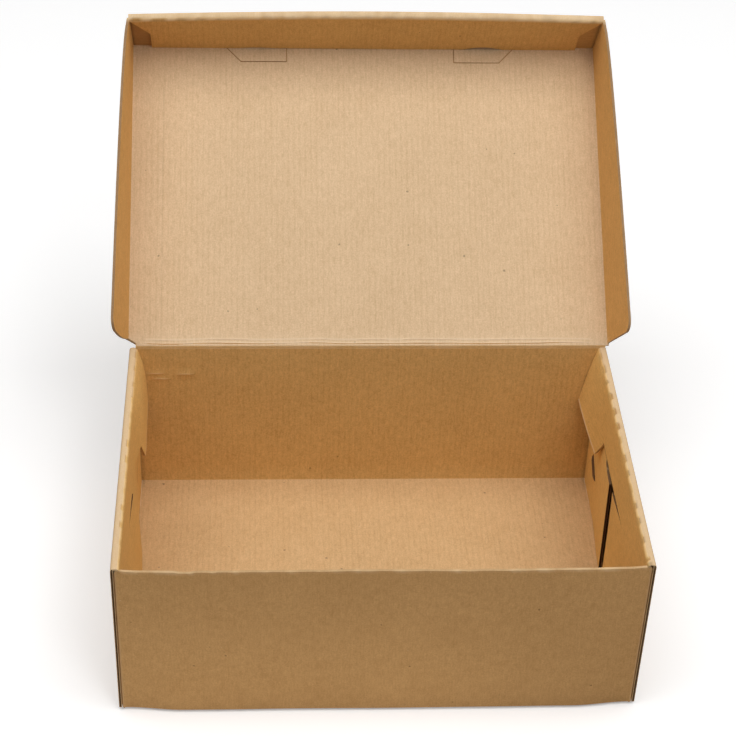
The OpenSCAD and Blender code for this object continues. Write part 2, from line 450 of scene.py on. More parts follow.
def boardMaterial(name):
    look = dict(zip(lookKeys, looks[name]))
    mat = bpy.data.materials.new(name)
    mat.use_nodes = True
    tree = mat.node_tree
    shader = tree.nodes["Principled BSDF"]
    where = tree.nodes.new("ShaderNodeTexCoord").outputs["Object"]
    blank = addNode(tree, "ShaderNodeUVMap", uv_map="blank").outputs["UV"]
    flutes = addNode(tree, "ShaderNodeGroup", {"Blank": blank, "Pitch": carton["flutePitch"] * mm},
                     node_tree=fluteLines)
    fibre = addNode(tree, "ShaderNodeGroup", {"Place": where, "Blank": blank}, node_tree=kraftFibre)
    wornAndHighlight = addNode(tree, "ShaderNodeAttribute", attribute_name="wornAndHighlight").outputs["Fac"]
    scoredAndShade = addNode(tree, "ShaderNodeAttribute", attribute_name="scoredAndShade").outputs["Fac"]

    def blendIn(below, tint, mask):
        below = (*below, 1) if isinstance(below, tuple) else below
        return addNode(tree, "ShaderNodeMix", {"Factor": mask, 6: below, 7: (*tint, 1)},
                       data_type="RGBA").outputs[2]

    grain = fibre.outputs["Grain"]
    deep = tuple(c * k for c, k in zip(look["tone"], kraft["deep"]))
    light = tuple(c * k for c, k in zip(look["tone"], kraft["light"]))
    dark = tuple(kraft["dark"] * c for c in deep)
    mottle = weigh(tree, fibre.outputs["Cloud"], look["cloud"], grain, look["grain"])
    mottle = maths(tree, "SUBTRACT", mottle, times(tree, flutes.outputs["Line"], look["line"]))
    middle = 0.5 - 0.5 * (look["cloud"] + look["grain"]) + kraft["lineMean"] * look["line"]
    tone = blendIn(deep, light, maths(tree, "ADD", mottle, middle, clamp=True))
    tone = blendIn(tone, look["pale"], times(tree, fibre.outputs["Pale"], kraft["paleSpecks"] * look["specks"]))
    tone = blendIn(tone, dark, times(tree, fibre.outputs["Dark"], look["specks"]))
    uneven = remap(tree, grain, 0.0, 1.0, 1.0, kraft["wearLeft"])
    # worn paper and painted highlights turn pale
    tone = blendIn(tone, look["pale"], times(tree, wornAndHighlight, uneven, clamp=True))
    # scored lines and painted shade turn dark
    tone = blendIn(tone, dark, times(tree, scoredAndShade, uneven, clamp=True))
    height = weigh(tree, flutes.outputs["Height"], look["washboard"], grain, kraft["grainHeight"])
    bump = addNode(tree, "ShaderNodeBump", {"Strength": 1.0, "Distance": kraft["bump"], "Height": height})
    rough = remap(tree, grain, 0.0, 1.0, *kraft["roughness"])
    feed(tree, shader, {"Base Color": tone, "Roughness": rough, "Normal": bump.outputs["Normal"],
                        "Specular IOR Level": kraft["specular"]})
    return mat


materials = {name: boardMaterial(name) for name in looks}
print("board materials made")


def dress(obj, outer, inner, upright, edge, body=None):
    # fills the slots in their order; clearing them would lose which face has which
    keep = [face.material_index for face in obj.data.polygons]
    obj.data.materials.clear()
    for name in (outer, inner, edge, "flutePaper", upright):
        obj.data.materials.append(materials[name])
    for face, index in zip(obj.data.polygons, keep):
        face.material_index = index
    workOn(obj)
    bpy.ops.object.shade_smooth_by_angle(angle=math.radians(carton["smoothAngle"]))
    if body:
        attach(obj, body)


def toneUpright(obj, test, paper=innerSlot, slot=uprightSlot):
    # faces of one paper that stand up from the floor or the lid panel, or lie in a light of their own, go to a
    # slot whose tone is painted light and shade for the light they lie in
    for face in obj.data.polygons:
        if face.material_index == paper and test(face.center, face.normal):
            face.material_index = slot


def asRibbon(obj, board):
    # takes the board's slots, so that joining keeps them apart
    for mat in board.data.materials:
        obj.data.materials.append(mat)
    for face in obj.data.polygons:
        face.material_index = fluteSlot
    return obj


# tray shell: floor, front wall, rear wall and the four corner flaps, folded from one sheet

trayShell = {
    "floorHalf": 139.0,
    "wallHalf": 140.1,     # middle of the corner flaps' board
    "wallY": 94.25,
    "floorZ": 0.75,
    "frontTop": 103.3,
    "rearTop": 104.5,
    "flapEnd": 11.0,
    "flapLow": 1.65,
    "flapTop": 103.35,
    "frontFlapTop": 100.5,
    "leftReach": 6.4,      # the left rear flap closes its slot
    "spring": {1: (62, 51.0, 2.35, 0.7), -1: (66, 55.0, 4.5, -3.05)},      # start, run, reach at the foot, rise
    "slit": (68.4, 70.0, 46.0),      # low edge, high edge and rear end of the slit under the band
    "catch": ((61.2, 27.0), (75.5, 36.3)),
    "catchWidth": 0.7,
    "catchLip": 1.5,
    "tears": ((-107.8, -98.5, 0.6), (-90.0, -87.5, 0.45), (41.0, 47.0, 0.3)),
    "edgeWave": 0.3,
    "edgeDip": 0.6,
    "bowFoot": 2.6,        # the front wall bulges between its corners
    "bowTop": 0.7,
    "bowStart": -76.0,     # on the floor, behind the wall
    "bowRun": 17.0,
    "bowCorner": 32.0,
    "bowUneven": 0.3,
    "rearUneven": 0.2,
    "creaseDepth": 0.22,
    "creases": ((86.0, -133.0, -122.0), (82.0, -127.5, -119.0), (85.6, -114.7, -105.0)),
}


def byCatch(y, z):
    # place along the catch slit, from 0 to 1, and distance from it
    (ay, az), (by, bz) = trayShell["catch"]
    run, off = Vector((by - ay, bz - az)), Vector((y - ay, z - az))
    return off.dot(run) / run.length_squared, off.dot(Vector((-run.y, run.x)).normalized())


def onCrease(x, z, margin):
    return any(near(z, at, margin) and left < x < right for at, left, right in trayShell["creases"])


def flapSpring(side, y, z):
    # how far the rear flap stands into the tray; below the slit it is free of the band
    s = trayShell
    low, high, rearEnd = s["slit"]
    if z > (low + high) / 2 and y < rearEnd:
        return 0.0
    start, run, foot, rise = s["spring"][side]
    reach = ease((start - y) / run) * (foot + rise * z / 69)
    reach *= 1 - ease((y - 28) / 14.0) * (1 - ease((71 - z) / 12.0))
    along, away = byCatch(y, z)
    if side > 0 and away < 0 < along < 1:
        reach += s["catchLip"] * ease(min(along, 1 - along) / 0.14) * max(0.0, 1 + away / 11.0)
    return reach


def makeTrayShell():
    s = trayShell
    half, wallHalf, wallY, z0 = s["floorHalf"], s["wallHalf"], s["wallY"], s["floorZ"]
    obj = boardGrid("trayShell", (-half, -wallY, z0), (half, wallY, z0), (96, 12))
    foldOn(on(y=-wallY), (0, 0, s["frontTop"] - z0), 8)
    foldOn(on(y=wallY, z=z0), (0, 0, s["rearTop"] - z0), 8)
    for side in (-1, 1):
        for end, steps in ((-1, 4), (1, 42)):
            foldOn(on(x=side * half, y=end * wallY), (side * (wallHalf - half), 0, 0))
            foldOn(on(x=side * wallHalf, y=end * wallY), (0, -end * (wallY - s["flapEnd"]), 0), steps)
    for end, top in ((-1, s["frontFlapTop"]), (1, s["flapTop"])):
        sliceMany(lambda p: abs(p.x) > half - slack and p.y * end > 0, 2, (s["flapLow"], top))
    dropFaces(lambda c: abs(c.x) > half + slack and ((c.z < s["flapLow"] and c.y > -94) or c.z > s["flapTop"]
                                                     or (c.z > s["frontFlapTop"] and -93 < c.y < 0)))
    onRearFlap = lambda p: abs(p.x) > wallHalf - slack and p.y > 0
    low, high, rearEnd = s["slit"]
    sliceMany(onRearFlap, 2, (5, 10, 20, 24, 30, 34, 44, 48, 58, 62, low - 1.1, low, high))
    sliceMany(onRearFlap, 1, (rearEnd,))
    dropFaces(lambda c: abs(c.x) > wallHalf - slack and low < c.z < high and 0 < c.y < rearEnd)
    (ay, az), (by, bz) = s["catch"]
    run = Vector((by - ay, bz - az)).normalized()
    roundCatch = lambda p: onRearFlap(p) and ay - 5 < p.y < by + 5 and az - 6 < p.z < bz + 6
    for shift in (-s["catchWidth"] / 2, s["catchWidth"] / 2):
        sliceAt(roundCatch, (0, ay - run.y * shift, az + run.x * shift), (0, -run.y, run.x))
    for y, z in s["catch"]:
        sliceAt(roundCatch, (0, y, z), (0, run.x, run.y))

    def inCatch(c):
        along, away = byCatch(c.y, c.z)
        return abs(c.x) > wallHalf - slack and 0 < along < 1 and abs(away) < s["catchWidth"] / 2

    dropFaces(inCatch)
    sliceMany(lambda p: near(p.y, -wallY) and abs(p.x) < half + slack, 2, (s["frontTop"] - 2.4,))
    for z, left, right in s["creases"]:
        onPatch = lambda p: near(p.y, wallY) and left - 4 < p.x < right + 4
        sliceMany(onPatch, 2, (z - 0.45, z, z + 0.45))
    roundFold(lambda p: near(abs(p.x), wallHalf) and near(abs(p.y), wallY) and p.z > 1.6, 0.9)
    roundFold(lambda p: near(abs(p.y), wallY) and near(p.z, z0) and abs(p.x) < half + slack, 0.8)
    for v in obj.data.vertices:
        x, y, z = v.co / mm
        if abs(x) < half + slack and y < s["bowStart"]:      # front wall bulges, its cut edge waves
            bow = s["bowFoot"] + (s["bowTop"] - s["bowFoot"]) * z / s["frontTop"]
            bow += s["bowUneven"] * wobble((x, z, 0), 45.0, 2)
            bow *= ease((half - abs(x)) / s["bowCorner"]) * ease((s["bowStart"] - y) / s["bowRun"])
            v.co.y -= bow * mm
            lift = s["edgeWave"] * wobble((x, 0, 0), 11.0, 1) - s["edgeDip"] * ease((half - abs(x)) / 10.0)
            for left, right, deep in s["tears"]:
                if left < x < right:
                    lift -= deep
            v.co.z += lift * ease((z - 92) / 11.0) * mm
        if abs(x) > wallHalf - slack and y > 5:
            v.co.x -= math.copysign(flapSpring(math.copysign(1, x), y, z), x) * mm
            if x < 0:
                v.co.y -= s["leftReach"] * ease((32 - y) / 21.0) * mm
        if y > wallY - 0.3 and abs(x) < half - 0.1:
            uneven = s["rearUneven"] * wobble((x, z, 0), 55.0, 3)
            v.co.y += uneven * ease((z - 4) / 30.0) * ease((102 - z) / 20.0) * mm
            if onCrease(x, z, 0.05):
                v.co.y -= s["creaseDepth"] * mm
    faceOut(obj, lambda faces: any(f.normal.z < -0.9 for f in faces if abs(f.center.z / mm - z0) < 0.1))
    giveThickness(obj)
    return obj


shell = makeTrayShell()
workOn(shell)
openEdge(lambda p: near(p.y, trayShell["flapEnd"], 0.3) and p.x > 130 and p.z < 69, (0, 1.6, 0))
darkenEdge(shell, lambda p: abs(p.x) > 130 and 3 < p.y < 92)
unfoldUv(shell, {0: (1, 2)})


def shellWearAndHighlight(p):
    s = trayShell
    if p.y < -93 and p.z > s["frontTop"] - 1.9 and abs(p.x) < 139:
        return 0.12 + 0.9 * max(0.0, wobble((p.x, 0, 0), 6.0, 11))
    # painted highlight on the rounded fold at each front corner
    if p.y < -94.0 and abs(p.x) > 139.6:
        return 0.25
    low = s["slit"][0]
    if abs(p.x) > 130 and 10 < p.y < s["slit"][2] and low - 0.6 < p.z < low + 0.2:
        return 0.9 if wobble((p.y, 0, 0), 2.3, 12) > 0.05 else 0.15      # torn bits along the slit
    return 0.75 if 92 < p.y < 94.2 and onCrease(p.x, p.z, 0.12) else 0.0


def shellShade(p):
    # painted shade low in the rear corners
    if p.y > 92.5 and abs(p.x) > 138.6 and p.z < 45:
        return 0.45
    if p.y > 92.0 and p.x > 128 and 18 < p.z < 66:      # shade of the right tongue
        return 0.3 * ease((p.x - 128) / 8.0) * ease((p.z - 18) / 14.0) * ease((66 - p.z) / 8.0)
    return 0.0


paint(shell, "wornAndHighlight", shellWearAndHighlight)
paint(shell, "scoredAndShade", shellShade)
dress(shell, "outerFace", "trayFloor", "trayWall", "cutEdge", "tray")
toneUpright(shell, lambda c, n: abs(n.z) < 0.7)
shell.data.materials.append(materials["sideInner"])      # painted light: the rear flaps take the side walls' tone, for the side walls' light
toneUpright(shell, lambda c, n: abs(c.x) > 0.134 and 0 < c.y < 0.0925, uprightSlot, ownSlot)
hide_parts("tray")
print("tray shell folded:", len(shell.data.polygons), "faces")


# side walls: outer panel, rim, rollover panel with its hooked tongue

sideWall = {
    "inX": 138.45,         # middle of the rollover panel
    "outX": 141.75,        # middle of the outer panel
    "rimZ": 104.25,
    "floorX": 139.0,
    "floorZ": 0.75,
    "frontY": -95.0,
    "rearY": 94.25,
    "panelFront": -93.2,
    "panelRear": 93.2,
    "foot": 1.65,
    "slotFront": 4.0,
    "bandZ": 70.0,
    "slitEnd": -25.0,
    "slitWidth": 0.6,
    "raggedPitch": 1.49,
    "raggedDepth": 0.35,
    "panelUneven": 0.3,
    "slitGape": {1: 1.0, -1: 0.16},       # how far the slit opens at the slot
    "panelLean": {1: (0.0, 0.6), -1: (2.9, 0.55)},      # front panel into the tray, at its foot and at the slit
    "notchY": 45.2,
    "point": (55.2, 54.0),
    "tip": (93.2, 65.0),
    "tongueRight": (8.4, 38.0, 0.75, 0.9),      # reach, drop, curl, spread
    "tongueLeft": (4.9, 20, 42.0, 11.0),        # reach, start, run, drop
    "hookEdge": 2.0,       # pale crushed strip along the hook
    "nickPitch": 13.5,
    "nickStray": 3.0,
    "nickShare": 0.42,
    "nickRound": 1.3,      # fold radius between the nicks
    "nickBite": {1: 0.5, -1: 0.16},
    "nickSink": 0.2,
    "rimThin": {1: 1.0, -1: 0.5},        # crushed front end of the rim
}


def tongueLean(side, y, z):
    # how far the tongue bows into the tray
    down = max(0.0, 103.0 - z)
    if side > 0:
        back = max(0.0, (y - sideWall["notchY"]) / (sideWall["panelRear"] - sideWall["notchY"]))
        reach, drop, curl, spread = sideWall["tongueRight"]
        return reach * (down / drop) ** curl * back ** spread
    reach, start, run, drop = sideWall["tongueLeft"]
    return reach * ease((y - start) / run) * (1 - math.exp(-down / drop))


def insideRollover(y, z):
    s = sideWall
    if y < s["slitEnd"] or z > s["bandZ"]:
        return True
    if y < s["slotFront"]:
        return not s["bandZ"] - s["slitWidth"] < z < s["bandZ"]
    py, pz = s["point"]
    ty, tz = s["tip"]
    behindNotch = (y - s["notchY"]) * (s["bandZ"] - pz) > (s["bandZ"] - z) * (py - s["notchY"])
    aboveHook = (z - pz) * (ty - py) > (y - py) * (tz - pz)
    return behindNotch and aboveHook and y > s["notchY"]


def nickSpots(s, start, counts, seeds):
    # cuts along an inner crease, uneven as the die left them: middle, half length and strength
    spots = []
    for i in counts:
        middle = start + s["nickPitch"] * i + s["nickStray"] * wobble((i * 3.7, 0, 0), 1.0, seeds[0])
        reach = s["nickPitch"] * s["nickShare"] / 2 * (1 + 0.9 * wobble((i * 5.3, 0, 0), 1.0, seeds[1]))
        spots.append((middle, reach, 1 + 1.2 * wobble((i * 2.9, 0, 0), 1.0, seeds[2])))
    return spots


def inNick(along, nicks):
    return any(abs(along - middle) < reach for middle, reach, strength in nicks)


def rimNicks(side):
    s = sideWall
    return nickSpots(s, s["frontY"] + s["nickPitch"] / 2, range(14), (side + 4, side + 6, side + 8))


def makeSideWall(name, side):
    s = sideWall
    inX, outX, rimZ = side * s["inX"], side * s["outX"], s["rimZ"]
    obj = boardGrid(name, (inX, s["frontY"], s["foot"]), (inX, s["rearY"], rimZ), (126, 26))
    slitEnd, slitLow = s["slitEnd"], s["bandZ"] - s["slitWidth"]
    rear = lambda p: p.y > slitEnd - 3
    py, pz = s["point"]
    ty, tz = s["tip"]
    sliceMany(rear, 2, (slitLow - 1.0, slitLow, s["bandZ"], s["bandZ"] + 0.6, s["bandZ"] + 1.1))
    sliceMany(rear, 1, (slitEnd, s["slotFront"]))
    behind = lambda p: p.y > s["notchY"] - 3
    sliceAt(behind, (0, s["notchY"], s["bandZ"]), (0, s["bandZ"] - pz, py - s["notchY"]))
    for rise in (0.0, s["hookEdge"] * 0.7, s["hookEdge"]):
        sliceAt(behind, (0, py, pz + rise), (0, pz - tz, ty - py))
    dropFaces(lambda c: not insideRollover(c.y, c.z))
    sliceMany(lambda p: p.z < 101.0, 1, (s["panelFront"], s["panelRear"]))
    dropFaces(lambda c: c.z < 100.4 and not s["panelFront"] < c.y < s["panelRear"])
    footLean, slitLean = s["panelLean"][side]
    for v in obj.data.vertices:
        y, z = v.co.y / mm, v.co.z / mm
        inward = tongueLean(side, y, z)
        if y < s["slotFront"] + 0.1 and z < slitLow + 0.1:      # front panel under the slit
            inward += footLean * (1 - z / slitLow) * ease((y + 90) / 50.0)
            inward += slitLean * (z / slitLow) ** 4 * ease((y - slitEnd) / 26.0)
            v.co.z -= s["slitGape"][side] * ease((y - slitEnd) / 26.0) * ease((z - 52) / (slitLow - 52)) * mm
        if y < 0:
            inward -= s["panelUneven"] * wobble((0, y, z), 45.0, 5) * ease((95 - z) / 30.0)
        v.co.x -= side * inward * mm
        onSlit = slitEnd + 1 < y < s["notchY"] - 1 and near(z, s["bandZ"])
        if onSlit and int((y + 100) / s["raggedPitch"]) % 2:      # ragged lower edge of the band
            v.co.z -= s["raggedDepth"] * mm
    foldOn(on(z=rimZ), (outX - inX, 0, 0))
    foldOn(on(x=outX, z=rimZ), (0, 0, s["floorZ"] - rimZ), 8)
    sliceMany(on(x=outX), 2, (rimZ - 2.6,))
    foldOn(on(x=outX, z=s["floorZ"]), (side * s["floorX"] - outX, 0, 0))
    dropFaces(lambda c: c.z < 0.8 and c.y < -91.5 and side * c.x < s["outX"] - 0.1)
    roundFold(on(x=outX, z=rimZ))
    roundFold(on(x=outX, z=s["floorZ"]))
    roundFold(lambda p: near(p.z, rimZ) and abs(p.x - inX) < 0.6, s["nickRound"], 4)
    bend = s["nickRound"]
    inBend = lambda p: side * (p.x - inX) < bend + 0.05 and p.z > rimZ - bend - 0.05
    for middle, reach, strength in rimNicks(side):      # the fold sinks where the crease is cut
        bite = Vector((side * s["nickBite"][side], 0, -s["nickSink"])) * strength
        bitten = lambda p: inBend(p) and abs(p.y - middle) < reach
        shape("VERT", bitten, bpy.ops.transform.translate, value=bite * mm)
    faceOut(obj, lambda faces: any(
        side * f.normal.x > 0.9 for f in faces if near(abs(f.center.x / mm), s["outX"], 0.1)))
    giveThickness(obj)
    for v in obj.data.vertices:      # the lower paper of the rim's front end is crushed upwards
        x, y, z = v.co / mm
        if y < -86 and 103.2 < z < 104.0 and 138.6 < side * x < 141.2:
            v.co.z += s["rimThin"][side] * ease((-86 - y) / 8.0) * mm
    return obj


def sideWearAndHighlight(side):
    s = sideWall
    nicks = rimNicks(side)
    py, pz = s["point"]
    ty, tz = s["tip"]
    run = Vector((ty - py, tz - pz)).normalized()

    def rule(p):
        x = side * p.x
        # rim: partly worn paper, partly painted highlight on the rounded fold; the nicks keep little
        if p.z > 104.6:
            return 0.9
        if p.z > 101.0 and x < 140.0:
            if inNick(p.y, nicks):
                return 0.15
            return 0.55 * ease((p.z - 103.5) / 1.2)
        if p.z > 102.5:
            return 0.55
        off = Vector((p.y - py, p.z - pz))
        above = off.dot(Vector((-run.y, run.x)))
        if x < 140 and -0.3 < off.dot(run) < 40 and above < s["hookEdge"] * 0.85:
            return 1.0
        return 0.0

    return rule


def sideScoreAndShade(side):
    s = sideWall
    nicks = rimNicks(side)

    def rule(p):
        inFold = 102.9 < p.z < 104.75 and side * p.x < 139.6
        # nicks: the cut crease, darkened as painted shade in the cut
        if inFold and inNick(p.y, nicks):
            return 0.16 if side > 0 else 0.06
        # painted shade under the band's lower edge, between the slit and the notch
        underBand = 22 < p.y < s["notchY"] and p.z < s["bandZ"] + 0.8
        if side > 0 and p.x < 139.6 and underBand:
            return 0.9
        if side > 0 and p.y < -92.6 and 137.0 < p.x < 140.4 and p.z > 102.0:      # painted shade in the gap at the front end of the rim
            return 0.5
        return 0.0

    return rule


for name, side in (("sideWallRight", 1), ("sideWallLeft", -1)):
    wall = makeSideWall(name, side)
    outX = side * sideWall["outX"]
    workOn(wall)
    openEdge(lambda p: p.y < -94.8 and side * p.x > 140.9 and p.z > 1.2, (0, 1.0, 0))
    openEdge(lambda p: p.y > 94.0 and side * p.x > 137.6 and p.z > 1.2, (0, -2.0, 0))
    openEdge(lambda p: near(p.y, sideWall["slotFront"], 0.1) and p.z < 67 and side * p.x < 140, (0, -1.6, 0))
    darkenEdge(wall, lambda p: -94.9 < p.y < -92.5 and side * p.x > 140.9 and p.z < 103.2)
    darkenEdge(wall, lambda p: -26 < p.y < 46 and side * p.x < 140 and p.z < 71)
    ribbons = [
        fluteRibbon(name + "Front", side, (outX, -94.75, 1.6), (0, 1, 0), 102.0, 0.7),
        fluteRibbon(name + "Rear", side, (outX, 93.6, 1.6), (0, -1, 0), 102.0, 1.3),
    ]
    dress(wall, "outerFace", "trayFloor", "sideInner", "cutEdge", "tray")
    toneUpright(wall, lambda c, n: side * n.x < -0.5 and side * c.x < 0.139, outerSlot)
    joinAll(wall, [asRibbon(r, wall) for r in ribbons])
    unfoldUv(wall)
    paint(wall, "wornAndHighlight", sideWearAndHighlight(side))
    paint(wall, "scoredAndShade", sideScoreAndShade(side))
    print(name, "folded:", len(wall.data.polygons), "faces")


# lid: panel, splayed side skirts, front skirt with its rim and rollover, in the closed place
# with the hinge along X through the origin

lidBoard = {
    "half": 143.85,        # middle of the side skirts' board
    "frontY": -195.8,
    "skirtStart": 1.5,
    "skirtEnd": 193.4,
    "skirtDepth": 38.5,
    "skirtCorner": 7.0,
    "splay": 6.2,
    "splayStart": 2.25,    # below the fold
    "rimZ": -37.75,
    "rollY": -192.5,
    "rollFoot": -0.9,
    "rollCut": -21.0,
    "rollTopHalf": 142.95,
    "rollLowHalf": 131.6,
    "ridges": ((1.7, 0.3), (3.9, 0.34)),
    "ridgeWave": 0.7,
    "panelUneven": 0.35,
    "crushedFlute": -124.0,
    "crushedRise": 0.12,
    "tabShift": 3.4,
    "tabInner": 52.0,
    "tabWidth": 37.0,
    "tabDepth": 8.8,
    "tabBase": -191.75,
    "tabSlit": 0.5,
    "tabCuts": ((-0.75, 1.8), (0.75, 0.7)),      # height and depth of the cut from each face
    "archWidth": 24.0,
    "archHeight": {1: 3.5, -1: 1.1},
    "nickPitch": 12.6,
    "nickStray": 2.6,
    "nickShare": 0.4,
    "nickRound": 1.3,
    "nickBite": 0.35,
    "nickSink": 0.15,
    "frontBow": 2.4,
    "frontLean": (0.4, 1.4),      # rim outwards, at the left and right ends
    "hingeRun": 30.0,      # length of skirt that the hinge end bends
    "hingeTrim": 6.0,      # board cut away at the left hinge corner
    "trimX": -133.0,
    "trimY": -5.0,
    # hinge ends of the skirts: back at the fold, forward at the free edge, belly between
    "hingeEnd": {-1: (2.9, 4.1, 1.9), 1: (0.0, 3.0, 0.0)},
}


def splayAt(along):
    s = lidBoard
    return s["splay"] * math.sqrt(max(0.0, (s["skirtEnd"] - s["skirtStart"] - along) / s["skirtEnd"]))


def frontLean(x, z):
    # front skirt leans and bows out at its rim
    s = lidBoard
    left, right = s["frontLean"]
    lean = left + (right - left) * (x / s["half"] + 1) / 2
    return (lean + s["frontBow"] * math.cos(x / s["half"] * math.pi / 2)) * ease(-z / 38.0)


lidNicks = nickSpots(lidBoard, 0.0, range(-11, 12), (21, 22, 23))


def openLid(obj):
    # swings a piece from its closed place to the open one
    setDown(obj, Matrix.Translation((0, carton["hingeY"] * mm, carton["hingeZ"] * mm))
            @ Matrix.Rotation(math.radians(-carton["lidOpen"]), 4, "X"))


def makeLidBoard():
    s = lidBoard
    half, frontY, rimZ, rollY = s["half"], s["frontY"], s["rimZ"], s["rollY"]
    obj = boardGrid("lidBoard", (-half, frontY, 0), (half, 0, 0), (96, 40))
    alongSkirt = lambda p: -s["skirtEnd"] - slack < p.y < -s["skirtStart"] + slack
    sliceMany(everywhere, 1, (-s["skirtStart"], -s["skirtEnd"]))
    for at, high in s["ridges"]:
        sliceMany(everywhere, 1, (-at - 0.7, -at, -at + 0.7))
    sliceMany(everywhere, 0, [s["crushedFlute"] + shift for shift in (-0.6, 0.0, 0.6)])
    for side in (-1, 1):
        foldOn(lambda p: near(p.x, side * half) and alongSkirt(p), (0, 0, -s["skirtDepth"]), 5)
    foldOn(on(y=frontY), (0, 0, rimZ), 4)
    foldOn(on(y=frontY, z=rimZ), (0, rollY - frontY, 0))
    foldOn(on(y=rollY, z=rimZ), (0, 0, s["rollFoot"] - rimZ), 6)
    onRoll = on(y=rollY)
    sliceMany(onRoll, 2, (rimZ + 2.0, rimZ + 2.6))
    sliceMany(on(y=frontY), 2, (rimZ + 2.6,))
    for side in (-1, 1):
        topX, lowX = side * s["rollTopHalf"], side * s["rollLowHalf"]
        slope = (side * (s["rollCut"] - rimZ), 0, s["rollTopHalf"] - s["rollLowHalf"])
        sliceAt(onRoll, (topX, 0, rimZ + 1.5), slope)
        sliceAt(onRoll, (lowX, 0, 0), (1, 0, 0))

    def cutAway(c):
        low, top = s["rollLowHalf"], s["rollTopHalf"]
        slant = top - (c.z - rimZ - 1.5) / (s["rollCut"] - rimZ) * (top - low)
        return near(c.y, rollY) and abs(c.x) > max(low, slant) and c.z > rimZ + 1.5

    dropFaces(cutAway)
    # free corners of the side skirts at the hinge
    radius = s["skirtCorner"]
    for step in range(1, 9):
        angle = math.radians(90 * step / 9)
        out = Vector((0, math.cos(angle), -math.sin(angle)))
        centre = Vector((0, -s["skirtStart"] - radius, radius - s["skirtDepth"]))
        atHinge = lambda p: near(abs(p.x), half) and p.z < -0.5 and p.y > -s["hingeRun"]
        sliceAt(atHinge, centre + out * radius, out, True)
    roundFold(lambda p: near(abs(p.x), half) and near(p.z, 0) and alongSkirt(p))
    roundFold(on(y=frontY, z=0))
    roundFold(on(y=frontY, z=rimZ))
    roundFold(on(y=rollY, z=rimZ), s["nickRound"], 4)
    bend = s["nickRound"]
    inBend = lambda p: p.z < rimZ + bend + 0.05 and p.y > rollY - bend - 0.05
    for middle, reach, strength in lidNicks:
        bite = Vector((0, -s["nickBite"], s["nickSink"])) * strength
        bitten = lambda p: inBend(p) and abs(p.x - middle) < reach
        shape("VERT", bitten, bpy.ops.transform.translate, value=bite * mm)
    tabMiddle = s["tabInner"] + s["tabWidth"] / 2
    for v in obj.data.vertices:
        x, y, z = v.co / mm
        if abs(x) > half - 1.2 and y > -s["skirtEnd"] - 0.5 and z < -s["splayStart"]:
            deep = (-z - s["splayStart"]) / (s["skirtDepth"] - s["splayStart"])
            v.co.x += math.copysign(splayAt(-y) * deep, x) * mm
        onSkirt = abs(x) > half - 1.2 and z < -slack
        if onSkirt and -s["hingeRun"] < y < -0.5:
            back, forward, belly = s["hingeEnd"][math.copysign(1, x)]
            deep = min(-z / 36.0, 1.1)
            shift = back - forward * deep - belly * math.sin(math.pi * min(deep, 1.0))
            v.co.y -= shift * ease((s["hingeRun"] + y) / (s["hingeRun"] - s["skirtStart"])) * mm
        if x < s["trimX"] and y > s["trimY"] and not onSkirt:
            v.co.x += s["hingeTrim"] * ease(1 - y / s["trimY"]) * min(1.0, (s["trimX"] - x) / 10.0) * mm
            v.co.z -= min(z, 0.0) * ease((y - s["trimY"]) / 2.0) * mm
        if y < rollY + 0.5 and z < -1.0:
            v.co.y -= frontLean(x, z) * mm
        if near(y, rollY, 0.5) and z > -1.5:      # foot of the rollover, arched over each tab
            off = (abs(x - s["tabShift"]) - tabMiddle) / (s["archWidth"] / 2)
            high = s["archHeight"][math.copysign(1, x)]
            v.co.z -= (high * max(0.0, 1 - off * off) + 0.25 * wobble((x, 0, 0), 30.0, 9)) * mm
        if abs(x) < 142 and -7 < y < -0.2 and abs(z) < 0.1:
            for at, high in s["ridges"]:
                if near(-y, at, 0.05):
                    v.co.z -= high * (0.8 + 0.5 * wobble((x, at, 0), 16.0, 4)) * ease((137 - abs(x)) / 6.0) * mm
            v.co.y += s["ridgeWave"] * wobble((x, 0, 0), 24.0, 14) * ease(-y / 1.5) * ease((7 + y) / 4.0) * mm
        if abs(x) < 141 and -188 < y < -12 and abs(z) < 0.1:
            v.co.z += s["panelUneven"] * wobble((x, y, 0), 70.0, 6) * ease((140 - abs(x)) / 30) * mm
            if near(x, s["crushedFlute"], 0.05):
                v.co.z += s["crushedRise"] * mm
    faceOut(obj, lambda faces: any(f.normal.z > 0.9 for f in faces if abs(f.center.z / mm) < 0.05))
    giveThickness(obj)
    for v in obj.data.vertices:      # the trimmed corner's thickness ends square
        x, y, z = v.co / mm
        if x < -138 and y > -5 and z > -1.5:
            v.co.x = max(x, -half - 0.75) * mm
            v.co.y = min(y, 0.3 - 4.3 * min(1.0, (-137 - x) / 6.0)) * mm
    return obj


def tabSlits():
    # three slits round each locking tab, cut from both faces with a web left between
    s = lidBoard
    slits = []
    for side in (-1, 1):
        inner = s["tabShift"] + side * s["tabInner"]
        outer = inner + side * s["tabWidth"]
        base, tip = s["tabBase"] - 0.3, s["tabBase"] + s["tabDepth"]
        for cut in s["tabCuts"]:
            slits.append(((inner, base), (inner, tip), *cut))
            slits.append(((inner - side * 0.2, tip), (outer - side * (s["tabDepth"] - 0.1), tip), *cut))
            slits.append(((outer - side * s["tabDepth"], tip), (outer, base), *cut))
    return slits


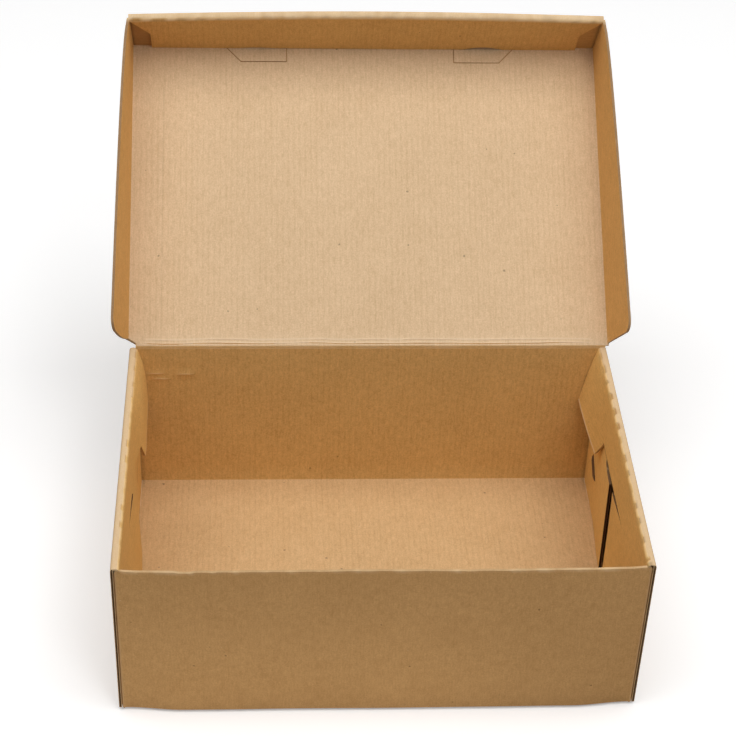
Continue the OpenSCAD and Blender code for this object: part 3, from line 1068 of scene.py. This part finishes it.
def cutSlits(obj, slits, width):
    # thin knives through the panel, each between two points of its plane
    for start, end, at, reach in slits:
        run = Vector(end) - Vector(start)
        middle = (Vector(start) + Vector(end)) / 2
        clearSelection()
        bpy.ops.mesh.primitive_cube_add(size=1, calc_uvs=False)
        knife = bpy.context.object
        setDown(knife, Matrix.Translation(Vector((*middle, at)) * mm)
                @ Matrix.Rotation(math.atan2(run.y, run.x), 4, "Z")
                @ Matrix.Diagonal((run.length * mm, width * mm, reach * mm, 1)))
        modify(obj, "BOOLEAN", operation="DIFFERENCE", solver="EXACT", object=knife)
        bpy.data.objects.remove(knife)


lid = makeLidBoard()
cutSlits(lid, tabSlits(), lidBoard["tabSlit"])
unfoldUv(lid)


def inLidNick(p):
    s = lidBoard
    return p.z < s["rimZ"] + 1.6 and p.y > s["rollY"] - 1.8 and inNick(p.x, lidNicks)


def lidWearAndHighlight(p):
    s = lidBoard
    # rim: partly worn paper, partly painted highlight on the rounded fold; the nicks keep little
    if p.y < s["rollY"] + 1.0 and p.z < s["rimZ"] + 3.0:
        if inLidNick(p) and p.y > s["rollY"] - 1.0:
            return 0.2
        return (1.0 + 0.35 * wobble((p.x, 0, 0), 3.0, 25)) * ease((s["rimZ"] + 2.3 - p.z) / 1.8)
    if abs(p.z) < 2 and -6 < p.y < -0.2:
        return 0.6 if any(near(-p.y, at, 0.5) and p.z < -0.9 for at, high in s["ridges"]) else 0.12
    return 0.0


def lidScoreAndShade(p):
    s = lidBoard
    # nicks: the cut crease, darkened as painted shade in the cut
    if inLidNick(p) and p.z > s["rimZ"] - 0.4:
        return 0.26
    if p.z < s["rimZ"] + 0.6 and p.y < s["rollY"] + 0.5:      # rubbed spots along the rim
        return 0.3 * max(0.0, wobble((p.x, p.y, 0), 6.5, 26))
    if p.x > 141.5 and p.y < -192.0 and p.z < -1.5:      # painted shade in the joint of the right skirt and the front one
        return 0.5
    if near(p.x, s["crushedFlute"], 0.05) and -170 < p.y < -8 and -1.2 < p.z < 0:
        return 0.1 + 0.3 * max(0.0, wobble((0, p.y, 0), 18.0, 15))
    return 0.0


paint(lid, "scoredAndShade", lidScoreAndShade)
paint(lid, "wornAndHighlight", lidWearAndHighlight)
dress(lid, "outerFace", "lidInner", "lidSkirt", "skirtEdge")
toneUpright(lid, lambda c, n: abs(n.z) < 0.7)
# painted light: the rollover's outer paper takes a lighter tone of its own, for the light on it
lid.data.materials.append(materials["lidRoll"])
onRollover = lambda c, n: n.y > 0.5 and c.y / mm > lidBoard["rollY"] - 3 and c.z / mm < -0.8
toneUpright(lid, onRollover, outerSlot, ownSlot)
openLid(lid)
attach(lid, "lid")
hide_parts("lid")
print("lid folded:", len(lid.data.polygons), "faces")


# corner flaps between the lid's front skirt and its rollover

lidFlap = {"reach": 39.0, "end": 143.2, "middleY": -194.15, "low": -36.85, "high": -0.4, "bend": 0.5}


def makeLidFlap(name, side):
    s = lidFlap
    end = side * s["end"]
    low = (end - side * s["reach"], s["middleY"], s["low"])
    obj = boardGrid(name, low, (end, s["middleY"], s["high"]), (20, 8))
    for v in obj.data.vertices:      # leans with the front skirt, its free end bent a little
        x, y, z = v.co / mm
        free = ease((s["reach"] - 26 - abs(x - end)) / (s["reach"] - 26))
        v.co.y -= (frontLean(x, z) + s["bend"] * free * ease(-z / 20.0)) * mm
    faceOut(obj, lambda faces: any(f.normal.y < -0.9 for f in faces))
    giveThickness(obj)
    unfoldUv(obj, {1: (2, 0)})
    paint(obj, "scoredAndShade", lambda p: 0.75 if abs(p.x) > s["end"] - 0.9 else 0.0)      # painted shade in the gap to the side skirt
    openLid(obj)
    # painted light and shade: the right flap takes the lit copy of its paper, the left the shaded one
    face = "flapLit" if side > 0 else "flapShaded"
    dress(obj, "outerFace", face, face, "skirtEdge", "lid")


for name, side in (("lidFlapRight", 1), ("lidFlapLeft", -1)):
    makeLidFlap(name, side)
print("lid corner flaps folded")


# crease strip that carries the board across the hinge, bent between the two bodies

hingeCrease = {"half": 141.9, "down": 3.2, "up": 3.2, "thickness": 1.15, "over": 138.8, "rim": 105.15}


def makeHingeCrease():
    s = hingeCrease
    y, z = carton["hingeY"], carton["hingeZ"]
    turn = math.radians(carton["lidOpen"])
    lean = Vector((0, -math.cos(turn), math.sin(turn)))
    obj = boardGrid("hingeCrease", (-s["half"], y, z - s["down"]), (s["half"], y, z - 0.9), (96, 4))
    foldOn(on(z=z - 0.9), (0, 0, 0.9), 3)
    foldOn(on(z=z), lean * s["up"], 8)
    sliceMany(everywhere, 0, (-s["over"], s["over"]))
    sliceMany(everywhere, 2, (s["rim"],))
    # clear of the side walls' rims
    dropFaces(lambda c: abs(c.x) > s["over"] and (c.z < s["rim"] or c.x < 0))
    faceOut(obj, lambda faces: faces[0].normal.y > 0)
    giveThickness(obj, s["thickness"])
    unfoldUv(obj)
    paint(obj, "wornAndHighlight", lambda p: 0.45 + 0.4 * wobble((p.x, 0, 0), 14.0, 16))
    return obj


crease = makeHingeCrease()
dress(crease, "outerFace", "trayWall", "trayWall", "cutEdge")
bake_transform(crease)
print("hinge crease bent")


# studio: white floor, wide soft light from above, a smaller one from the front right, a low card in front

studio = {
    "floorSize": 8.0,
    "floorZ": -0.0012,
    "floorGlow": 0.24,
    "floorSeen": 0.92,     # floor's white to the camera
    "floorGiven": 0.60,    # and as it lights the box
    "world": 0.29,
    "lamps": {
        "topLight": {"power": 35.0, "size": (3.2, 1.4), "place": (0.0, -0.15, 2.0), "target": (0, 0.0, 0.1)},
        "lowCard": {"power": 0.025, "size": (0.29, 0.02), "place": (-0.07, -0.17, 0.008),
                    "target": (-0.07, -0.1, 0.014)},
        "keyLight": {"power": 5.0, "size": (0.5, 0.5), "place": (0.5, -1.1, 1.7), "target": (0, 0.05, 0.1)},
    },
}


def seenRay(tree):
    # 1 for rays that show a surface, 0 for those that carry its light to the box
    path = tree.nodes.new("ShaderNodeLightPath").outputs
    return maths(tree, "MAXIMUM", path["Is Camera Ray"],
                 maths(tree, "MAXIMUM", path["Is Glossy Ray"], path["Is Transmission Ray"]))


def makeStudio():
    s = studio
    clearSelection()
    bpy.ops.mesh.primitive_grid_add(
        x_subdivisions=8, y_subdivisions=8, size=s["floorSize"], location=(0, 0, s["floorZ"]))
    floor = bpy.context.object
    floor.name = "studioFloor"
    mat = bpy.data.materials.new("studioFloor")
    mat.use_nodes = True
    tree = mat.node_tree
    shader = tree.nodes["Principled BSDF"]
    seen = seenRay(tree)
    tone = remap(tree, seen, 0.0, 1.0, s["floorGiven"], s["floorSeen"])
    feed(tree, shader, {"Roughness": 0.9, "Specular IOR Level": 0.0, "Base Color": tone})
    glow = addNode(tree, "ShaderNodeEmission", {"Strength": times(tree, seen, s["floorGlow"])})
    both = addNode(tree, "ShaderNodeAddShader", {0: shader.outputs[0], 1: glow.outputs[0]})
    feed(tree, tree.nodes["Material Output"], {"Surface": both.outputs[0]})
    floor.data.materials.append(mat)

    world = bpy.data.worlds.new("studioWorld")
    bpy.context.scene.world = world
    world.use_nodes = True
    tree = world.node_tree
    strength = remap(tree, seenRay(tree), 0.0, 1.0, s["world"], 1.0)
    feed(tree, tree.nodes["Background"], {"Color": (1, 1, 1, 1), "Strength": strength})

    for name, values in s["lamps"].items():
        lamp = bpy.data.lights.new(name, "AREA")
        lamp.energy = values["power"]
        lamp.shape = "RECTANGLE"
        lamp.size, lamp.size_y = values["size"]
        obj = bpy.data.objects.new(name, lamp)
        bpy.context.scene.collection.objects.link(obj)
        place = Vector(values["place"])
        obj.location = place
        obj.rotation_mode = "QUATERNION"
        obj.rotation_quaternion = (Vector(values["target"]) - place).to_track_quat("-Z", "Y")
        obj.visible_camera = False


makeStudio()

photoCamera = {
    "lens": 94.53,
    "sensor": 36,
    "place": (-0.0622, -0.8239, 0.8008),
    "right": (0.99858388, -0.04324795, 0.03098135),
    "up": (0.0019995, 0.61245635, 0.79050188),
    "ahead": (0.05316231, 0.78932049, -0.61167552),
}


def makeCamera():
    s = photoCamera
    data = bpy.data.cameras.new("photoCamera")
    data.lens = s["lens"]
    data.sensor_width = s["sensor"]
    obj = bpy.data.objects.new("photoCamera", data)
    bpy.context.scene.collection.objects.link(obj)
    obj.matrix_world = axes(s["right"], s["up"], -Vector(s["ahead"]), s["place"])
    bpy.context.scene.camera = obj


makeCamera()
bpy.context.scene.view_settings.view_transform = "Standard"
print("studio lit")

clearSelection()
